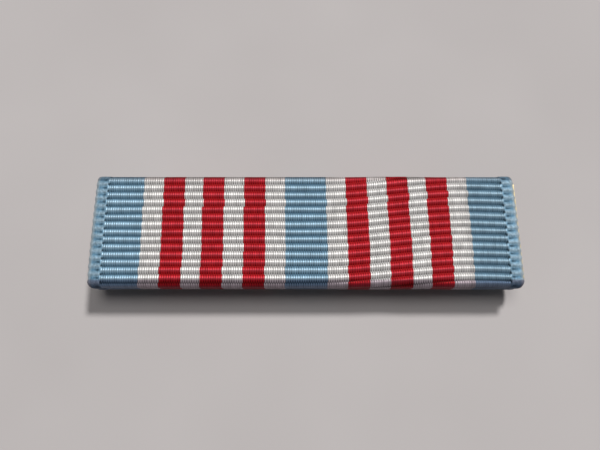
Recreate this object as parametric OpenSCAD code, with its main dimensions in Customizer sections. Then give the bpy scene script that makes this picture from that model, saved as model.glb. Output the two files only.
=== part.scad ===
// Service ribbon bar: a striped ribbon folded over a brass channel plate, which slides on a
// mounting bar with a brooch pin and a turning safety catch on its back.
// It lies face up: +X along the bar, +Y towards its top edge when worn, +Z out of its face.
// Z = 0 is the lowest point of the pin fittings, and X = Y = 0 is the middle of the bar.

/* [Ribbon] */
// Width of the woven ribbon, which is the length of the bar
ribbon_l = 34.9; // [20:0.1:60]
// Height of the bar's face, fold to fold
face_h = 9.5; // [8.5:0.1:13]
// Thickness of the ribbon
ribbon_t = 0.4; // [0.2:0.05:0.5]
// How far the ribbon overhangs the plate at the -X end
ribbon_past = 0.15; // [0:0.05:0.3]
// Height of the folded ribbon's back above the lowest point of the pin fittings
back_z = 1.25; // [1.2:0.05:1.6]

/* [Backing plate] */
// How far the plate stands out of the ribbon at the +X end
plate_past = 0.1; // [0:0.05:0.4]
// Thickness of the sheet brass
plate_t = 0.3; // [0.2:0.05:0.4]
// Radius inside the plate's rolled edges
bend_r = 0.12; // [0.05:0.01:0.2]
// Height of the channel inside the plate
channel_h = 0.52; // [0.45:0.01:0.8]
// Gap between the plate's two lips
lip_gap = 5.2; // [4:0.1:6]
// Thickness of the double-sided adhesive film
film_t = 0.05; // [0.02:0.01:0.1]

/* [Mounting bar] */
// Length of the mounting bar
bar_l = 34.2; // [19:0.1:60]
// Width of the mounting bar, which fits between the rolled edges
bar_w = 7.6; // [6.4:0.1:8]
// Clearance above and below the mounting bar in the channel
bar_clear = 0.05; // [0.04:0.01:0.1]

/* [Pin] */
// Height of the pin's axis above the lowest point
axis_z = 0.95; // [0.9:0.01:1]
// Diameter of the pin's stem
pin_d = 0.72; // [0.6:0.02:0.8]
// Place of the hinge along the bar
hinge_x = -13.4; // [-16:0.1:-6]
// Place of the middle of the catch along the bar
catch_x = 12; // [6:0.1:13]
// How far the pin's point stands past the middle of the catch
point_past = 3.9; // [3:0.1:5]

/* [Fittings] */
// Thickness of the feet that are soldered to the mounting bar
foot_t = 0.25; // [0.2:0.01:0.3]
// Width of the feet across the bar
foot_w = 2.6; // [2.2:0.1:3]
// Thickness of the solder under each foot
solder_t = 0.05; // [0.03:0.01:0.08]
// How far the catch turns from open to locked
lock_turn = 140; // [90:5:150]

/* [Hidden] */
$fn = 48;
eps = 0.01;

// Places along the bar: X = 0 is midway between the ribbon's -X end and the plate's +X end
ribbon_x = -plate_past / 2;
plate_x = ribbon_past / 2;
plate_l = ribbon_l - ribbon_past + plate_past;

// Stack of layers, from the folded ribbon's back up to its face
plate_z = back_z + ribbon_t + film_t;
plate_h = channel_h + 2 * plate_t;
plate_w = face_h - 2 * (ribbon_t + film_t);
plate_r = plate_t + bend_r;
unit_t = plate_h + 2 * (ribbon_t + film_t);
fold_r = plate_r + film_t + ribbon_t;
flat_w = plate_w - 2 * plate_r;
lip_w = (flat_w - lip_gap) / 2;

// Mounting bar
bar_z = plate_z + plate_t + bar_clear;
bar_t = channel_h - 2 * bar_clear;
bar_corner_r = 0.6;
dimple_h = 0.04;
dimple_x = 9;

// Feet and hinge
foot_z = bar_z - solder_t - foot_t;
foot_corner_r = 0.4;
solder_rim = 0.14;
hinge_foot_l = 3.2;
catch_foot_l = 4.2;
ear_t = 0.3;
ear_gap = 0.68;
rivet_r = 0.28;
rivet_head_r = 0.5;
rivet_head_h = 0.16;
eye_r = 0.72;
eye_t = 0.56;
eye_bore_r = 0.31;
point_l = 2.2;

// Catch: two open rings, and a slotted rotor that turns in them
ring_bore_r = 0.7;
ring_slot = 0.9;
ring_r = sqrt(pow(axis_z, 2) + pow(ring_slot / 2, 2));
ring_l = 0.85;
ring_gap = 1.7;
neck_w = 1.5;
window_w = 2;
journal_r = 0.665;
drum_r = 0.9;
drum_play = 0.05;
rotor_bore_r = 0.45;
rotor_slot = 0.84;
tab_reach = 1.45;
tab_t = 0.5;
tab_l = 1.2;
tab_angle = 270 - lock_turn / 2;

// A rectangle with round corners, centred, in the plane of the bar's face
module round_plate(length, width, radius) {
    for (x = [-1, 1], y = [-1, 1])
        translate([x * (length / 2 - radius), y * (width / 2 - radius)]) circle(radius);
    square([length - 2 * radius, width], center = true);
    square([length, width - 2 * radius], center = true);
}

// Extrudes a Y-Z outline along X, centred on X = 0
module along_x(length) {
    rotate([90, 0, 90]) linear_extrude(length, center = true) children();
}

// A cylinder along X between two places
module shaft_x(from, to, r_from, r_to) {
    translate([from, 0, axis_z]) rotate([0, 90, 0]) cylinder(h = to - from, r1 = r_from, r2 = r_to);
}

// A cylinder along Y, centred on the hinge's axis
module shaft_y(length, radius) {
    translate([hinge_x, 0, axis_z]) rotate([90, 0, 0]) cylinder(h = length, r = radius, center = true);
}

// The Y-Z outline of a sheet folded round a bar: a rounded box, hollow, open below in the middle
module folded_outline(width, height, radius, thickness, opening) {
    difference() {
        round_plate(width, height, radius);
        round_plate(width - 2 * thickness, height - 2 * thickness, radius - thickness);
        translate([-opening / 2, -height / 2 - eps]) square([opening, height / 2]);
    }
}

module ribbon() {
    color([0.47, 0.63, 0.74])
        translate([ribbon_x, 0, back_z + unit_t / 2])
            along_x(ribbon_l) folded_outline(face_h, unit_t, fold_r, ribbon_t, lip_gap + 0.1);
}

module adhesive_film() {
    color([0.85, 0.82, 0.7])
        translate([ribbon_x, 0, plate_z + plate_h + film_t / 2])
            cube([ribbon_l - 0.8, flat_w, film_t], center = true);
}

module lip_adhesive() {
    color([0.85, 0.82, 0.7])
        for (side = [-1, 1])
            translate([ribbon_x, side * (lip_gap + lip_w) / 2, plate_z - film_t / 2])
                cube([ribbon_l - 0.8, lip_w - 0.2, film_t], center = true);
}

module backing_plate() {
    color([0.8, 0.62, 0.28])
        translate([plate_x, 0, plate_z + plate_h / 2])
            along_x(plate_l) folded_outline(plate_w, plate_h, plate_r, plate_t, lip_gap);
}

module mounting_bar() {
    color([0.78, 0.6, 0.27]) {
        translate([0, 0, bar_z]) linear_extrude(bar_t) round_plate(bar_l, bar_w, bar_corner_r);
        // Grip dimples, which bear on the roof of the channel
        for (x = [-dimple_x, dimple_x])
            translate([x, 0, bar_z + bar_t - eps]) cylinder(h = dimple_h + eps, r1 = 0.5, r2 = 0.3);
    }
}

// Solder under a foot of the given length, a little wider all round
module solder_pad(x, foot_l) {
    color([0.72, 0.73, 0.72])
        translate([x, 0, bar_z - solder_t]) linear_extrude(solder_t)
            round_plate(foot_l + 2 * solder_rim, foot_w + 2 * solder_rim, foot_corner_r + solder_rim);
}

module foot(foot_l) {
    translate([0, 0, foot_z]) linear_extrude(foot_t) round_plate(foot_l, foot_w, foot_corner_r);
}

module hinge_solder() solder_pad(hinge_x, hinge_foot_l);

module hinge_bracket() {
    color([0.8, 0.62, 0.28]) {
        translate([hinge_x, 0, 0]) foot(hinge_foot_l);
        difference() {
            for (side = [-1, 1])
                translate([hinge_x, side * (ear_gap + ear_t) / 2, 0]) rotate([90, 0, 0])
                    linear_extrude(ear_t, center = true) {
                        translate([0, axis_z]) circle(axis_z);
                        translate([-axis_z, axis_z]) square([2 * axis_z, foot_z + eps - axis_z]);
                    }
            shaft_y(foot_w, rivet_r);
        }
    }
}

module hinge_rivet() {
    color([0.7, 0.7, 0.7]) {
        shaft_y(ear_gap + 2 * ear_t, rivet_r);
        for (side = [-1, 1])
            translate([hinge_x, side * (ear_gap / 2 + ear_t), axis_z]) rotate([-90 * side, 0, 0]) {
                cylinder(h = rivet_head_h / 2, r = rivet_head_r);
                translate([0, 0, rivet_head_h / 2])
                    cylinder(h = rivet_head_h / 2, r1 = rivet_head_r, r2 = rivet_head_r * 0.6);
            }
    }
}

module pin_stem() {
    point_x = catch_x + point_past;
    color([0.75, 0.76, 0.78])
        difference() {
            union() {
                shaft_y(eye_t, eye_r);
                difference() {
                    shaft_x(hinge_x, point_x - point_l, pin_d / 2, pin_d / 2);
                    shaft_y(foot_w, eye_r - 0.1);
                }
                shaft_x(point_x - point_l, point_x, pin_d / 2, 0.03);
            }
            shaft_y(foot_w, eye_bore_r);
        }
}

module catch_solder() solder_pad(catch_x, catch_foot_l);

module catch_base() {
    color([0.8, 0.62, 0.28])
        difference() {
            union() {
                translate([catch_x, 0, 0]) foot(catch_foot_l);
                for (side = [-1, 1])
                    translate([catch_x + side * (ring_gap + ring_l) / 2, 0, axis_z])
                        along_x(ring_l) {
                            circle(ring_r);
                            translate([-neck_w / 2, 0]) square([neck_w, foot_z + eps - axis_z]);
                        }
            }
            // Bore for the rotor, the way in for the pin, and room for the rotor's drum
            shaft_x(catch_x - catch_foot_l, catch_x + catch_foot_l, ring_bore_r, ring_bore_r);
            translate([catch_x, 0, 0]) cube([2 * catch_foot_l, ring_slot, 2 * axis_z], center = true);
            translate([catch_x, 0, foot_z]) cube([ring_gap, window_w, 1], center = true);
        }
}

module catch_rotor() {
    rotor_l = ring_gap + 2 * ring_l;
    drum_l = ring_gap - 2 * drum_play;
    color([0.82, 0.66, 0.33])
        difference() {
            union() {
                shaft_x(catch_x - rotor_l / 2, catch_x + rotor_l / 2, journal_r, journal_r);
                shaft_x(catch_x - drum_l / 2, catch_x + drum_l / 2, drum_r, drum_r);
                // Thumb tab, which points down to one side when the catch is open
                translate([catch_x, 0, axis_z]) rotate([tab_angle, 0, 0]) {
                    translate([-tab_l / 2, 0, -tab_t / 2]) cube([tab_l, tab_reach - tab_t / 2, tab_t]);
                    translate([-tab_l / 2, tab_reach - tab_t / 2, 0])
                        rotate([0, 90, 0]) cylinder(h = tab_l, d = tab_t);
                }
            }
            shaft_x(catch_x - rotor_l, catch_x + rotor_l, rotor_bore_r, rotor_bore_r);
            translate([catch_x - rotor_l, -rotor_slot / 2, axis_z - 2 * drum_r])
                cube([2 * rotor_l, rotor_slot, 2 * drum_r]);
        }
}

ribbon();
adhesive_film();
lip_adhesive();
backing_plate();
mounting_bar();
hinge_solder();
hinge_bracket();
hinge_rivet();
pin_stem();
catch_solder();
catch_base();
catch_rotor();
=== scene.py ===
"""A service ribbon bar lying face up: a woven striped ribbon folded over a brass plate, with the
mounting bar, pin and catch behind it. Everything is in metres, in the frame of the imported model:
+X along the bar, +Y towards its top edge, +Z out of its face."""
import math

import bpy
import numpy as np
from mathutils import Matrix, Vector


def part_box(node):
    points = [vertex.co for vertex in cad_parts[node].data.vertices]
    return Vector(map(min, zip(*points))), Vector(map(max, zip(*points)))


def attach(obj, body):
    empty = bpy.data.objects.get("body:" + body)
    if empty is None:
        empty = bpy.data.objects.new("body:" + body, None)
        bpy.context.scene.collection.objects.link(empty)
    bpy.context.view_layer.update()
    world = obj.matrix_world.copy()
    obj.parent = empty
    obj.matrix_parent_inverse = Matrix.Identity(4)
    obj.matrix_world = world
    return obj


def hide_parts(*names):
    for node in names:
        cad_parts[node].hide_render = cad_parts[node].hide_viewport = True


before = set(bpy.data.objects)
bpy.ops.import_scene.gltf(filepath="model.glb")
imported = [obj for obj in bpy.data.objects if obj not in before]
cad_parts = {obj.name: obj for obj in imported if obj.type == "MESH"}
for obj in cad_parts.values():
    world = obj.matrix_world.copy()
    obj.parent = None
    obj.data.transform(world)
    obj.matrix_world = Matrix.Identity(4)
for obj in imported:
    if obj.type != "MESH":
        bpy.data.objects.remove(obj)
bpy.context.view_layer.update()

MM = 0.001
SEED = 7

# --- The camera, at the angle and distance of the photograph ----------------------------------
CAMERA_ELEVATION = math.radians(75.0)
CAMERA_DISTANCE = 42.1 * MM
CAMERA_LENS = 31.0  # in millimetres, as is the sensor
CAMERA_SENSOR = 36.0
CAMERA_AIM = (-0.48 * MM, 0.36 * MM)  # across the face, from its middle

# --- The ribbon: how it is cut and folded -----------------------------------------------------
RIBBON_LOW, RIBBON_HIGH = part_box("ribbon")
WIDTH = RIBBON_HIGH.x - RIBBON_LOW.x
MIDDLE_X = (RIBBON_HIGH.x + RIBBON_LOW.x) / 2
THICKNESS = 0.40 * MM
FOLD_R = 0.62 * MM  # outside of each fold
BEND_R = FOLD_R - THICKNESS / 2  # middle of the cloth in each fold
FLAP_END = 2.65 * MM  # where each flap ends behind the plate, from the bar's middle
FACE_HALF = RIBBON_HIGH.y - FOLD_R  # half of the flat face, fold to fold
SIDE = RIBBON_HIGH.z - RIBBON_LOW.z - 2 * FOLD_R  # flat part of each long edge
FLAP = FACE_HALF - FLAP_END
QUARTER = BEND_R * math.pi / 2  # cloth in one fold
CUT_LENGTH = 2 * (FACE_HALF + 2 * QUARTER + SIDE + FLAP)
DRAWN_IN_FACE = 0.05 * MM  # how far the ends draw in at the edges of the face,
DRAWN_IN_FLAP = 0.42 * MM  # and further behind the plate
RAGGED = 0.03 * MM  # unevenness of the two cut edges
INNER_GRID = (90, 24)  # rows and columns of the plain inner side

# --- The weave --------------------------------------------------------------------------------
YARN = 0.187 * MM  # pitch of the warp yarns, along X
RIB = 0.630 * MM  # pitch of the ribs, along the cloth
RIB_HEIGHT = 0.17 * MM
RIB_ROWS = (-0.5, -0.34, -0.12, 0.12, 0.34)  # where rows of vertices lie across one rib
YARN_COLUMNS = 4  # columns of vertices for each yarn
RIB_AT = -0.19 * MM  # where one rib's crest lies on the face
SELVEDGE = 0.98 * MM  # width of the woven edge at each end
CORD_ZIGZAG = 0.05 * MM  # of the cord between the selvedge and the body
COMB = 0.055 * MM  # how far neighbouring ribs reach between each other's yarns
YARN_UNEVEN = 0.02 * MM
LEAN = 0.006  # how far the warp is out of square with the bar
SKEW = 0.78 * MM  # how far the ribs are out of square at the right end

# --- The stripes: colour and width in millimetres, from either end to the middle --------------
STRIPES = [("blue", 4.07), ("white", 1.53), ("red", 1.76), ("white", 1.53), ("red", 1.77),
           ("white", 1.62), ("red", 1.77), ("white", 1.60)]
CENTRE_STRIPE = ("blue", 3.47)
CREST_HIGHLIGHT_COLOURS = {  # painted highlight: the yarn's colour where it is proud on a rib's crest
    "blue": (0.324, 0.466, 0.57),
    "white": (0.63, 0.62, 0.61),
    "red": (0.40, 0.036, 0.052),
}
GROOVE_COLOURS = {  # of the yarn where it dips between two ribs
    "blue": (0.130, 0.285, 0.425),
    "white": (0.80, 0.79, 0.78),
    "red": (0.61, 0.002, 0.005),
}
LOOP_COLOUR = (0.45, 0.48, 0.48, 1)  # of the outermost weft loops
FRONT_FOLD_SHADE = (0.49, 0.42, 0.48, 1)  # painted shade: what is left of the colour in the front fold
# painted shade: what is left of the colour in the rear fold
REAR_FOLD_SHADE = (0.64, 0.60, 0.60, 1)

# --- The metals: clean colour, tarnished colour and roughness ---------------------------------
BRASS_TARNISH = (0.52, 0.36, 0.16)
METALS = {
    # Painted shade: the plate's and the mounting bar's brass are darker copies of brass, so that
    # they don't glare under the lights
    "plate_brass": ((0.42, 0.36, 0.22), (0.34, 0.27, 0.14), 0.46),
    "bar_brass": ((0.36, 0.27, 0.135), (0.31, 0.23, 0.11), 0.50),
    "fitting_brass": ((0.80, 0.58, 0.26), BRASS_TARNISH, 0.30),
    "rotor_brass": ((0.84, 0.64, 0.31), BRASS_TARNISH, 0.24),
    "steel": ((0.66, 0.66, 0.67), (0.45, 0.44, 0.43), 0.22),
    "solder": ((0.60, 0.60, 0.58), (0.42, 0.41, 0.39), 0.38),
}
METAL_NODES = {  # the CAD nodes that each metal is for
    "plate_brass": ["backing_plate"],
    "bar_brass": ["mounting_bar"],
    "fitting_brass": ["hinge_bracket", "catch_base"],
    "rotor_brass": ["catch_rotor"],
    "steel": ["pin_stem", "hinge_rivet"],
    "solder": ["hinge_solder", "catch_solder"],
}

# --- The stage --------------------------------------------------------------------------------
FLOOR_HALF = 1.0
FLOOR_COLOURS = ((0.50, 0.475, 0.475), (0.53, 0.505, 0.505))
LIGHT_COLOUR = (1.0, 0.98, 0.96)
ROOM_COLOUR = (0.92, 0.93, 1.0, 1)
ROOM_STRENGTH = 0.07
WALL_COLOUR = (0.25, 0.24, 0.24, 1)  # as it is reflected
WALL_SEEN = 2.05  # how many times brighter the camera sees it, which is as pale as the floor


# --- Ribbon geometry --------------------------------------------------------------------------
def smooth(t):
    """Goes smoothly from 0 to 1 as t does."""
    t = np.clip(t, 0.0, 1.0)
    return t * t * (3 - 2 * t)


def hump(value, at, width):
    """1 where a value is at the given one, and falling to 0 on both sides of it."""
    return np.exp(-(((value - at) / width) ** 2))


def folded(cut, offset):
    """Place (y, z) of cloth at a distance along the cut, offset outwards from its middle layer."""
    along = cut - CUT_LENGTH / 2
    out = np.abs(along)
    turn_1 = np.clip((out - FACE_HALF) / BEND_R, 0, math.pi / 2)
    turn_2 = np.clip((out - FACE_HALF - QUARTER - SIDE) / BEND_R, 0, math.pi / 2)
    turn = turn_1 + turn_2
    down = np.clip(out - FACE_HALF - QUARTER, 0, SIDE)
    flap = np.clip(out - FACE_HALF - 2 * QUARTER - SIDE, 0, None)
    y = np.minimum(out, FACE_HALF) + BEND_R * np.sin(turn) - flap
    z = RIBBON_HIGH.z - FOLD_R + BEND_R * np.cos(turn_1) - down - BEND_R * np.sin(turn_2)
    side = np.where(along < 0, -1.0, 1.0)
    return side * (y + offset * np.sin(turn)), z + offset * np.cos(turn)


def drawn_in(x, cut):
    """How far the ribbon's ends draw in towards its middle where it folds."""
    out = np.abs(cut - CUT_LENGTH / 2)
    amount = DRAWN_IN_FACE * np.minimum(out / FACE_HALF, 1) ** 2
    amount = amount + DRAWN_IN_FLAP * smooth((out - FACE_HALF) / (1.6 * MM))
    reach = 4 * MM
    return -np.sign(x) * amount * smooth((np.abs(x) - (WIDTH / 2 - reach)) / reach)


def stretched(cut):
    """Near 1 round the front and rear folds of the face, where the cloth is pulled tight."""
    past = np.abs(cut - CUT_LENGTH / 2) - FACE_HALF
    return smooth(past / (0.25 * MM)) * (1 - smooth((past - QUARTER) / (0.5 * MM)))


def weft_shift(x):
    """How far the ribs lie out of square across the ribbon: only on its right half."""
    skew = SKEW * smooth((x - 1.0 * MM) / (12.4 * MM))
    return skew - 0.08 * MM * smooth((x - 13.4 * MM) / (4 * MM))


def placed_x(x, cut):
    """Place of the cloth along the bar."""
    return x + drawn_in(x, cut) - LEAN * (cut - CUT_LENGTH / 2) + MIDDLE_X


def ribbon_columns():
    """Each column's place across the cloth, that place unrolled, and its outward direction."""
    edge_r = THICKNESS / 2
    step = YARN / YARN_COLUMNS
    half = int((WIDTH / 2 - edge_r) / step)
    flat = np.arange(-half, half + 1) * step
    turns = np.radians([30, 60, 90, 120, 150, 175])  # round each end's edge
    edge = WIDTH / 2 - edge_r + edge_r * np.sin(turns)
    unrolled = WIDTH / 2 - edge_r + edge_r * turns
    return {
        "x": np.concatenate([-edge[::-1], flat, edge]),
        "unrolled": np.concatenate([-unrolled[::-1], flat, unrolled]),
        "sideways": np.concatenate([-np.sin(turns)[::-1], 0 * flat, np.sin(turns)]),
        "upright": np.concatenate([np.cos(turns)[::-1], 0 * flat + 1, np.cos(turns)]),
    }


def rib_crown(phase):
    """Height from 0 to 1 across a rib: a round ridge with nearly straight flanks."""
    away = np.abs((phase + 0.5) % 1.0 - 0.5)
    return 1 - (2 * away) ** 1.5


def yarn_round(x, rib):
    """How far down the side of its yarn each vertex is: 0 along a yarn's top, 1 between yarns."""
    across = x / YARN + (rib % 2) / 2
    away = 2 * np.abs((across + 0.5) % 1.0 - 0.5)
    return away ** 2


def per_row(values):
    """Values that each rib has, repeated for its rows."""
    return np.repeat(values, len(RIB_ROWS), axis=0)


def uneven_yarns(rng, ribs, columns):
    """How much lower each yarn lies than it might, differently in each rib."""
    low = per_row(rng.uniform(0, YARN_UNEVEN, (ribs, columns // YARN_COLUMNS + 1)))
    return np.repeat(low, YARN_COLUMNS, axis=1)[:, :columns]


def uneven_ribs(rng, ribs, phase, x):
    """How far each row strays from its place: ribs of uneven width, with wandering edges."""
    stray = rng.normal(0, 0.010 * MM, (ribs + 1, 1)) + 0 * x[None, :]
    for wavelength in (0.9, 2.1, 5.0):
        amount = rng.normal(0, 0.008 * MM, (ribs + 1, 1))
        start = rng.uniform(0, 2 * math.pi, (ribs + 1, 1))
        stray = stray + amount * np.sin(x[None, :] / (wavelength * MM) + start)
    return per_row(stray[:-1]) + per_row(np.diff(stray, axis=0)) * (phase + 0.5)


def weave_depth(x, phase, between, uneven):
    """Depth of each vertex below the highest crests, and how far it belongs to the body."""
    # The selvedge's ribs lie half a rib away from the body's, across a cord that zigzags
    cord = WIDTH / 2 - SELVEDGE + CORD_ZIGZAG * np.cos(2 * math.pi * phase)
    out = np.abs(x)[None, :] - cord
    in_body = 1 - smooth(out / (0.16 * MM) + 0.5)
    crown = in_body * rib_crown(phase) + (1 - in_body) * rib_crown(phase + 0.5)

    # Flatter ribs in the selvedge and on the cord, and deeper grooves on both sides of the cord
    on_cord = hump(out, 0.0, 0.10 * MM)
    height = RIB_HEIGHT * (0.5 + 0.5 * in_body) * (1 - 0.3 * on_cord)
    height = height + 0.03 * MM * hump(out, -0.24 * MM, 0.12 * MM)
    height = height + 0.05 * MM * hump(out, 0.22 * MM, 0.10 * MM)

    # Slits between yarns, deepest on a rib's flanks
    flank = smooth((1.0 - crown) / 0.8)
    slit = (0.012 + 0.050 * flank * in_body) * MM * (0.2 + 0.8 * in_body)
    depth = height * (1 - crown) + slit * between + uneven * crown
    return depth + 0.02 * MM * on_cord, in_body


def weave_grid(rng):
    """The ribbon's outer side as grids over rows and columns, with its cloth coordinates."""
    columns = ribbon_columns()
    x = columns["x"]
    last = int((CUT_LENGTH / 2 + 1.2 * MM) / RIB) + 1
    ribs = np.arange(-last, last + 1)
    phase = np.tile(RIB_ROWS, len(ribs))[:, None]
    rib = per_row(ribs)[:, None]
    between = yarn_round(x[None, :], rib)
    depth, in_body = weave_depth(x, phase, between, uneven_yarns(rng, len(ribs), len(x)))

    # Distance along the cut, where the yarns of neighbouring ribs reach between each other
    reach = np.sign(phase) * (2 * np.abs(phase)) ** 3
    comb = COMB * reach * (1 - 2 * between) * in_body
    cut = CUT_LENGTH / 2 + RIB_AT + (rib + phase) * RIB + weft_shift(x)[None, :]
    cut = cut + comb + uneven_ribs(rng, len(ribs), phase, x)
    fraction = np.clip(1 - depth / (RIB_HEIGHT + 0.08 * MM), 0, 1)
    return columns, cut, depth, fraction, rib + phase + 0 * cut


def outer_side(rng):
    """The woven outer side: its vertex grid, points, cloth coordinates and flat places."""
    across, cut, depth, fraction, rib = weave_grid(rng)
    rows, columns = cut.shape

    # Rows past the two cut edges stop on them
    ragged = rng.uniform(0, RAGGED, (2, columns))
    low = np.tile(ragged[0], (rows, 1))
    high = np.tile(CUT_LENGTH - ragged[1], (rows, 1))
    held = np.clip(cut, low, high)
    first = np.argmax(cut > low, axis=0) - 1
    last = rows - np.argmax(cut[::-1] < high[::-1], axis=0)
    row_used = np.clip(np.arange(rows)[:, None], first[None, :], last[None, :])

    depth = depth * (1 - 0.6 * stretched(held))
    place_x = placed_x(across["x"][None, :] - across["sideways"][None, :] * depth, held)
    y, z = folded(held, across["upright"][None, :] * (THICKNESS / 2 - depth))
    x_mm = across["x"][None, :] / MM + 0 * rib
    return {
        "index": row_used * columns + np.arange(columns)[None, :],
        "points": np.stack([place_x, y, z], axis=-1).reshape(-1, 3),
        "cloth": np.stack([x_mm, rib, fraction], axis=-1).reshape(-1, 3),
        "flat": np.stack([across["unrolled"][None, :] + 0 * held, held], axis=-1).reshape(-1, 2),
    }


def inner_side():
    """The plain inner side, a coarser grid: its points, cloth coordinates and flat places."""
    rows, columns = INNER_GRID
    x = np.linspace(-1, 1, columns) * (WIDTH / 2 - 0.26 * MM)
    cut = np.linspace(0.01 * MM, CUT_LENGTH - 0.01 * MM, rows)
    x, cut = np.meshgrid(x, cut)
    y, z = folded(cut, -THICKNESS / 2 + 0.012 * MM)
    rib = (cut - CUT_LENGTH / 2 - RIB_AT) / RIB
    cloth = np.stack([x / MM, rib, 0.75 + 0 * x], axis=-1).reshape(-1, 3)
    # Where its rim is sewn up with the outer side, it lies just past the outer side's rim
    past_x = np.where(np.abs(x) == np.abs(x).max(), np.sign(x) * (WIDTH / 2 + 0.6 * MM), x)
    past_cut = np.where(cut == cut.min(), -0.2 * MM, cut)
    past_cut = np.where(cut == cut.max(), CUT_LENGTH + 0.2 * MM, past_cut)
    return {
        "index": np.arange(rows * columns).reshape(rows, columns),
        "points": np.stack([placed_x(x, cut), y, z], axis=-1).reshape(-1, 3),
        "cloth": cloth,
        "flat": np.stack([x, cut + CUT_LENGTH + 0.8 * MM], axis=-1).reshape(-1, 2),
        "seam": np.stack([past_x, past_cut], axis=-1).reshape(-1, 2),
    }


def stitch(a, b):
    """Triangles that join two runs of vertices whose ends are already beside each other."""
    faces, i, j = [], 0, 0
    while i < len(a) - 1 or j < len(b) - 1:
        next_a = (i + 1) / max(len(a) - 1, 1)
        next_b = (j + 1) / max(len(b) - 1, 1)
        if j == len(b) - 1 or (i < len(a) - 1 and next_a <= next_b):
            faces.append((a[i], a[i + 1], b[j]))
            i += 1
        else:
            faces.append((a[i], b[j + 1], b[j]))
            j += 1
    return faces


def grid_faces(index):
    """Quads over a grid of vertex numbers, with the ones that a clipped row closes up left out."""
    corners = np.stack(
        [index[:-1, :-1], index[:-1, 1:], index[1:, 1:], index[1:, :-1]], axis=-1)
    faces = []
    for quad in corners.reshape(-1, 4):
        ring = [v for k, v in enumerate(quad) if v != quad[k - 1]]
        if len(set(ring)) == len(ring) >= 3:
            faces.append(tuple(int(v) for v in ring))
    return faces


def distinct(run):
    """A run of vertex numbers without repeats."""
    return [int(v) for k, v in enumerate(run) if k == 0 or v != run[k - 1]]


def sew_up(outer, inner):
    """Faces that join the rims of the outer and inner sides, all round."""
    faces = stitch(distinct(inner[0]), distinct(outer[0]))
    faces += stitch(distinct(outer[-1]), distinct(inner[-1]))
    faces += stitch(distinct(outer[:, 0]), distinct(inner[:, 0]))
    faces += stitch(distinct(inner[:, -1]), distinct(outer[:, -1]))
    return faces


def unroll(mesh, flat, seam, first_seam_corner):
    """Lays the cloth out flat on a square map, at one scale all over."""
    corner = np.empty(len(mesh.loops), dtype=np.int32)
    mesh.loops.foreach_get("vertex_index", corner)
    place = flat[corner]
    place[first_seam_corner:] = seam[corner[first_seam_corner:]]
    square = WIDTH + 2.2 * MM
    place = place / square + np.array([0.5, 0.4 * MM / square])
    layer = mesh.uv_layers.new(name="OFBake")
    layer.data.foreach_set("uv", place.astype(np.float32).ravel())


def make_ribbon():
    """The woven ribbon as one closed mesh, each vertex with its place in the weave."""
    outer = outer_side(np.random.default_rng(SEED))
    inner = inner_side()
    inner_index = inner["index"] + len(outer["points"])
    faces = grid_faces(outer["index"])
    faces += [face[::-1] for face in grid_faces(inner_index)]
    first_seam_corner = sum(len(face) for face in faces)
    faces += sew_up(outer["index"], inner_index)

    # Only the vertices in use
    points = np.concatenate([outer["points"], inner["points"]])
    cloth = np.concatenate([outer["cloth"], inner["cloth"]])
    flat = np.concatenate([outer["flat"], inner["flat"]])
    seam = np.concatenate([outer["flat"], inner["seam"]])
    used = np.unique(np.concatenate([np.array(f) for f in faces]))
    renumber = np.full(len(points), -1)
    renumber[used] = np.arange(len(used))

    mesh = bpy.data.meshes.new("ribbon_weave")
    mesh.from_pydata(points[used].tolist(), [], [[int(renumber[v]) for v in f] for f in faces])
    weave = mesh.attributes.new("weave", "FLOAT_VECTOR", "POINT")
    weave.data.foreach_set("vector", cloth[used].astype(np.float32).ravel())
    unroll(mesh, flat[used], seam[used], first_seam_corner)
    mesh.polygons.foreach_set("use_smooth", [True] * len(mesh.polygons))
    mesh.update()
    ribbon = bpy.data.objects.new("ribbon_weave", mesh)
    bpy.context.scene.collection.objects.link(ribbon)
    return ribbon


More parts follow.
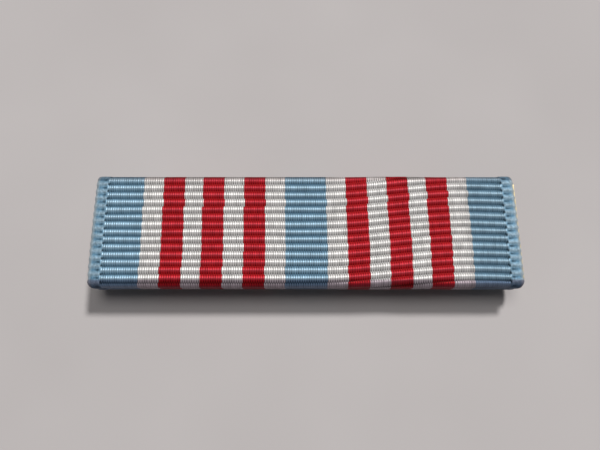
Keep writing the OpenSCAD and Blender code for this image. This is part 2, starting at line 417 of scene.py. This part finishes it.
# --- Materials --------------------------------------------------------------------------------
class Graph:
    """Adds shader nodes to one new material, each linked as it is made."""

    def __init__(self, name):
        self.material = bpy.data.materials.new(name)
        self.material.use_nodes = True
        self.tree = self.material.node_tree
        self.shader = self.tree.nodes["Principled BSDF"]

    def feed(self, socket, value):
        if isinstance(value, bpy.types.NodeSocket):
            self.tree.links.new(value, socket)
        else:
            socket.default_value = value

    def add(self, kind, output=0, inputs=None, **settings):
        node = self.tree.nodes.new(kind)
        for name, value in settings.items():
            setattr(node, name, value)
        for name, value in (inputs or {}).items():
            self.feed(node.inputs[name], value)
        return node.outputs[output]

    def math(self, operation, a, b=0.0):
        return self.add("ShaderNodeMath", operation=operation, inputs={0: a, 1: b})

    def product(self, *values):
        result = values[0]
        for value in values[1:]:
            result = self.math("MULTIPLY", result, value)
        return result

    def less(self, value):
        """What a share leaves of the whole."""
        return self.math("SUBTRACT", 1.0, value)

    def span(self, value, low, high):
        """A value that ran from 0 to 1, now running from low to high."""
        return self.add("ShaderNodeMapRange", inputs={"Value": value, "To Min": low, "To Max": high})

    def between(self, value, start, width):
        """Goes smoothly from 0 to 1 as a value passes from start to start + width."""
        return self.add("ShaderNodeMapRange", interpolation_type="SMOOTHSTEP", inputs={
            "Value": value, "From Min": start, "From Max": start + width})

    def fold_at_half(self, value):
        """0 where a value is a whole number, and 1 half way between two of them."""
        part = self.math("FRACT", self.math("ADD", value, 0.5))
        return self.math("MULTIPLY", self.math("ABSOLUTE", self.math("SUBTRACT", part, 0.5)), 2.0)

    def ramp(self, value, stops, interpolation="LINEAR"):
        node = self.tree.nodes.new("ShaderNodeValToRGB")
        node.color_ramp.interpolation = interpolation
        elements = node.color_ramp.elements
        elements.remove(elements[1])
        for k, (at, colour) in enumerate(stops):
            element = elements[0] if k == 0 else elements.new(at)
            element.position = at
            element.color = (*colour, 1.0)
        self.feed(node.inputs[0], value)
        return node.outputs[0]

    def mix(self, factor, a, b, blend="MIX"):
        node = self.tree.nodes.new("ShaderNodeMix")
        node.data_type = "RGBA"
        node.blend_type = blend
        for k, value in ((0, factor), (6, a), (7, b)):
            self.feed(node.inputs[k], value)
        return node.outputs[2]

    def vector(self, x, y, z=0.0):
        return self.add("ShaderNodeCombineXYZ", inputs={0: x, 1: y, 2: z})

    def split(self, vector):
        node = self.tree.nodes.new("ShaderNodeSeparateXYZ")
        self.feed(node.inputs[0], vector)
        return node.outputs

    def place(self):
        return self.add("ShaderNodeTexCoord", output="Object")

    def noise(self, vector, scale, detail=2.0, roughness=0.5):
        return self.add("ShaderNodeTexNoise", inputs={
            "Vector": vector, "Scale": scale, "Detail": detail, "Roughness": roughness})

    def bump(self, height, strength, distance):
        return self.add("ShaderNodeBump", inputs={
            "Height": height, "Strength": strength, "Distance": distance})

    def set(self, **sockets):
        for name, value in sockets.items():
            self.feed(self.shader.inputs[name.replace("_", " ")], value)
        return self.material


def grey(value):
    return (value, value, value)


class Weave:
    """Where a point of the ribbon lies in its weave, in shader values; lengths in millimetres."""

    def __init__(self, g):
        self.x, self.rib_at, self.height = g.split(
            g.add("ShaderNodeAttribute", output="Vector", attribute_name="weave"))
        self.rib = g.math("FLOOR", g.math("ADD", self.rib_at, 0.5))
        # The yarns of every other rib lie half a yarn further along
        self.step = g.math("MULTIPLY", g.math("FLOORED_MODULO", self.rib, 2.0), 0.5)
        self.yarn_at = g.math("ADD", g.math("DIVIDE", self.x, YARN / MM), self.step)

        # From a rib's crest and from a yarn's middle, 0 to 1, and from the ribbon's middle
        self.from_crest = g.fold_at_half(self.rib_at)
        self.from_middle = g.fold_at_half(self.yarn_at)
        self.from_centre = g.math("ABSOLUTE", self.x)
        self.selvedge = (WIDTH / 2 - SELVEDGE) / MM
        self.end_stripe = WIDTH / 2 / MM - STRIPES[0][1]
        self.body = g.between(self.from_centre, self.selvedge, -0.10)
        self.outside = g.less(self.body)

        # Fibres lie along the yarns, stretched over the noise's space
        self.fibres = g.noise(g.vector(g.math("MULTIPLY", self.x, 30.0),
                                       g.math("MULTIPLY", self.rib_at, 1.5)), 1.0, 3.0, 0.6)


def striped(g, w):
    """The stripes, woven so that their edges step a little from rib to rib."""
    jog = g.add("ShaderNodeTexWhiteNoise", noise_dimensions="1D", inputs={"W": w.rib})
    across = g.math("ADD", g.math("MULTIPLY", w.x, MM / WIDTH),
                    g.math("ADD", g.math("MULTIPLY", w.step, 0.0022), g.span(jog, 0.4982, 0.5007)))
    stripes = STRIPES + [CENTRE_STRIPE] + STRIPES[::-1]
    total = sum(width for _, width in stripes)
    starts, at = [], 0.0
    for name, width in stripes:
        starts.append((at / total, name))
        at += width
    # Painted highlight along each rib's crest, from the crest colours
    crests = g.ramp(across, [(at, CREST_HIGHLIGHT_COLOURS[name]) for at, name in starts], "CONSTANT")
    grooves = g.ramp(across, [(at, GROOVE_COLOURS[name]) for at, name in starts], "CONSTANT")
    # In the selvedge the ridges lie where the body's grooves do
    sunk = g.math("ADD", g.product(w.from_crest, w.body),
                  g.product(g.less(w.from_crest), w.outside))
    return g.mix(sunk, crests, grooves)


def slit_and_groove_shade(g, w):
    """Painted shade: what the slits between yarns and the grooves between ribs, darker the deeper
    they lie, leave of the colour.
    """
    # The yarns hardly part in the last stripe at each end
    slit = g.product(g.between(w.from_middle, 0.45, 0.55),
                     g.span(g.between(w.from_crest, 0.30, 0.5), 0.42, 1.0),
                     g.span(w.body, 0.12, 0.82),
                     g.span(g.between(w.from_centre, w.end_stripe - 0.58, 0.9), 1.0, 0.45))
    groove_shade = g.product(g.between(w.from_crest, 0.62, 0.38), g.span(w.body, 0.0, 0.68))
    depth_shade = g.ramp(w.height, [(0.0, grey(0.35)), (0.5, grey(1.0))])
    return g.product(g.less(slit), g.less(groove_shade), depth_shade)


def notch_shade(g, w):
    """Painted shade: what dark notches leave, where the body's grooves end and the selvedge's begin.
    """
    ends = g.product(g.between(w.from_centre, w.selvedge - 0.22, 0.08),
                     g.between(w.from_centre, w.selvedge, -0.06),
                     g.between(w.from_crest, 0.45, 0.35))
    begins = g.product(g.between(w.from_centre, w.selvedge + 0.02, 0.06),
                       g.between(w.from_centre, w.selvedge + 0.62, -0.50),
                       g.between(w.from_crest, 0.36, -0.22))
    return g.less(g.product(g.math("ADD", ends, begins), 0.55))


def unevenness(g, w):
    """Uneven dye from yarn to yarn, along each yarn's fibres and broadly along the ribs."""
    yarn = g.math("FLOOR", w.yarn_at)
    each = g.add("ShaderNodeTexWhiteNoise", noise_dimensions="2D",
                 inputs={"Vector": g.vector(yarn, w.rib)})
    broad = g.noise(g.vector(g.math("MULTIPLY", w.x, 0.7), g.math("MULTIPLY", w.rib, 0.9)),
                    1.0, 2.0)
    return g.product(g.span(each, 0.88, 1.12), g.span(w.fibres, 0.86, 1.12),
                     g.span(broad, 0.86, 1.14))


def selvedge_tone(g, w):
    """The selvedge is duller than the body, and its threads are less even."""
    threads = g.noise(g.vector(g.math("MULTIPLY", w.x, 6.0), g.math("MULTIPLY", w.rib_at, 3.5)),
                      1.0, 2.0, 0.6)
    threads = g.product(g.math("SUBTRACT", threads, 0.5), 1.3, w.outside)
    return g.product(g.span(w.body, 0.80, 1.0), g.math("ADD", 1.0, threads))


def painted_fold_shade(g, colour):
    """Painted shade on the folds of the face, darker in the front one."""
    y = g.split(g.place())[1]
    front = g.between(y, MM, -2 * MM)
    out = g.math("ADD", g.math("ABSOLUTE", y), g.span(front, 0.0, 0.13 * MM))
    fold = g.between(out, FACE_HALF - 0.02 * MM, 0.24 * MM)
    return g.mix(fold, colour, g.mix(1.0, colour, g.mix(front, REAR_FOLD_SHADE, FRONT_FOLD_SHADE), "MULTIPLY"))


def ribbon_material():
    g = Graph("ribbon_weave")
    w = Weave(g)
    # Painted shade: the last stripe at the right end is darker, where the cloth lies a little askew
    # to the light
    right_stripe_shade = g.product(g.between(w.x, w.end_stripe - 0.48, 0.5), w.body)
    tone = g.product(unevenness(g, w), slit_and_groove_shade(g, w), notch_shade(g, w),
                     selvedge_tone(g, w), g.span(right_stripe_shade, 1.0, 0.80))
    colour = g.mix(1.0, striped(g, w), g.vector(tone, tone, tone), "MULTIPLY")
    loops = g.between(w.from_centre, WIDTH / 2 / MM - 0.40, 0.30)
    colour = g.mix(g.product(loops, 0.55), colour, LOOP_COLOUR)
    colour = painted_fold_shade(g, colour)

    # Round, twisted yarns
    twist = g.noise(g.vector(g.math("MULTIPLY", w.x, 45.0), g.math("MULTIPLY", w.rib_at, 5.0)),
                    1.0, 2.0)
    round_yarn = g.product(g.less(g.product(w.from_middle, w.from_middle)),
                           g.span(w.body, 0.2, 1.0))
    bump = g.bump(g.math("ADD", round_yarn, g.math("MULTIPLY", twist, 0.6)), 0.4, 0.02 * MM)
    rough = g.math("ADD", g.span(w.fibres, 0.36, 0.50), g.span(w.body, 0.14, 0.02))
    return g.set(Base_Color=colour, Metallic=g.span(w.body, 0.20, 0.45), Roughness=rough,
                 Normal=bump, Specular_IOR_Level=0.1)


def metal_material(name):
    """Worn metal: brushed lines along X, tarnish in patches, and fine scratches."""
    colour, dull, roughness = METALS[name]
    g = Graph(name)
    place = g.place()
    along_x = g.add("ShaderNodeMapping", inputs={"Vector": place, "Scale": (300, 9000, 9000)})
    brushed = g.noise(along_x, 1.0, 3.0, 0.6)
    patches = g.noise(place, 900.0, 4.0, 0.6)
    tarnish = g.ramp(patches, [(0.42, grey(0.0)), (0.68, grey(1.0))])
    base = g.mix(tarnish, (*colour, 1), (*dull, 1))
    base = g.mix(0.25, base, g.ramp(brushed, [(0.3, grey(0.55)), (0.7, grey(1.0))]), "MULTIPLY")
    rough = g.math("ADD", g.span(patches, roughness - 0.06, roughness + 0.14),
                   g.math("MULTIPLY", brushed, 0.08))
    bump = g.bump(brushed, 0.5, 0.003 * MM)
    return g.set(Base_Color=base, Metallic=1.0, Roughness=rough, Normal=bump)


def adhesive_material():
    g = Graph("adhesive")
    cloud = g.noise(g.place(), 2500.0, 3.0)
    colour = g.ramp(cloud, [(0.3, (0.55, 0.48, 0.33)), (0.7, (0.72, 0.66, 0.5))])
    return g.set(Base_Color=colour, Roughness=g.span(cloud, 0.25, 0.45))


def floor_material():
    g = Graph("floor")
    cloud = g.noise(g.place(), 60.0, 2.0)
    colour = g.ramp(cloud, [(0.3, FLOOR_COLOURS[0]), (0.7, FLOOR_COLOURS[1])])
    return g.set(Base_Color=colour, Roughness=0.85, Specular_IOR_Level=0.2)


# --- Floor, light and camera ------------------------------------------------------------------
def make_floor():
    mesh = bpy.data.meshes.new("floor")
    corners = ((-1, -1), (1, -1), (1, 1), (-1, 1))
    mesh.from_pydata([(x * FLOOR_HALF, y * FLOOR_HALF, 0) for x, y in corners],
                     [], [(0, 1, 2, 3)])
    mesh.materials.append(floor_material())
    floor = bpy.data.objects.new("floor", mesh)
    bpy.context.scene.collection.objects.link(floor)


def add_light(kind, name, direction, distance, energy, **settings):
    """A soft light that faces the middle of the bar."""
    data = bpy.data.lights.new(name, kind)
    data.energy = energy
    data.color = LIGHT_COLOUR
    for setting, value in settings.items():
        setattr(data, setting, value)
    light = bpy.data.objects.new(name, data)
    bpy.context.scene.collection.objects.link(light)
    light.location = Vector(direction).normalized() * distance
    light.rotation_euler = light.location.to_track_quat("Z", "Y").to_euler()


def make_room():
    """Dim light from all round, and pale walls that are only seen and reflected."""
    world = bpy.data.worlds.new("room")
    world.use_nodes = True
    tree = world.node_tree
    light = tree.nodes["Background"]
    light.inputs["Color"].default_value = ROOM_COLOUR
    light.inputs["Strength"].default_value = ROOM_STRENGTH
    wall = tree.nodes.new("ShaderNodeBackground")
    wall.inputs["Color"].default_value = WALL_COLOUR
    ray = tree.nodes.new("ShaderNodeLightPath")

    strength = tree.nodes.new("ShaderNodeMapRange")
    strength.inputs["To Min"].default_value = 1.0
    strength.inputs["To Max"].default_value = WALL_SEEN
    tree.links.new(ray.outputs["Is Camera Ray"], strength.inputs["Value"])
    tree.links.new(strength.outputs[0], wall.inputs["Strength"])

    seen = tree.nodes.new("ShaderNodeMath")
    seen.operation = "MAXIMUM"
    tree.links.new(ray.outputs["Is Camera Ray"], seen.inputs[0])
    tree.links.new(ray.outputs["Is Glossy Ray"], seen.inputs[1])
    either = tree.nodes.new("ShaderNodeMixShader")
    tree.links.new(seen.outputs[0], either.inputs[0])
    tree.links.new(light.outputs[0], either.inputs[1])
    tree.links.new(wall.outputs[0], either.inputs[2])
    tree.links.new(either.outputs[0], tree.nodes["World Output"].inputs["Surface"])
    bpy.context.scene.world = world


def make_camera():
    data = bpy.data.cameras.new("camera")
    data.sensor_width = CAMERA_SENSOR
    data.lens = CAMERA_LENS
    data.clip_start = 0.001
    data.clip_end = 10.0
    camera = bpy.data.objects.new("camera", data)
    bpy.context.scene.collection.objects.link(camera)
    aim = Vector((*CAMERA_AIM, RIBBON_HIGH.z))
    away = Vector((0, -math.cos(CAMERA_ELEVATION), math.sin(CAMERA_ELEVATION)))
    camera.location = aim + CAMERA_DISTANCE * away
    camera.rotation_euler = away.to_track_quat("Z", "Y").to_euler()
    bpy.context.scene.camera = camera


def dress(nodes, material):
    """Gives CAD nodes a material."""
    for name in nodes:
        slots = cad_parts[name].data.materials
        slots.clear()
        slots.append(material)


# --- The scene --------------------------------------------------------------------------------
make_camera()
make_floor()
add_light("SUN", "window", direction=(0.28, 0.52, 0.79), distance=0.5, energy=2.6, angle=0.15)
add_light("AREA", "ceiling", direction=(-0.05, 0.25, 1.0), distance=0.6, energy=1.0, size=0.25)
make_room()
bpy.context.scene.view_settings.view_transform = "Standard"

for metal, nodes in METAL_NODES.items():
    dress(nodes, metal_material(metal))
dress(["adhesive_film", "lip_adhesive"], adhesive_material())

ribbon = make_ribbon()
ribbon.data.materials.append(ribbon_material())
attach(ribbon, "ribbon_unit")
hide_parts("ribbon")
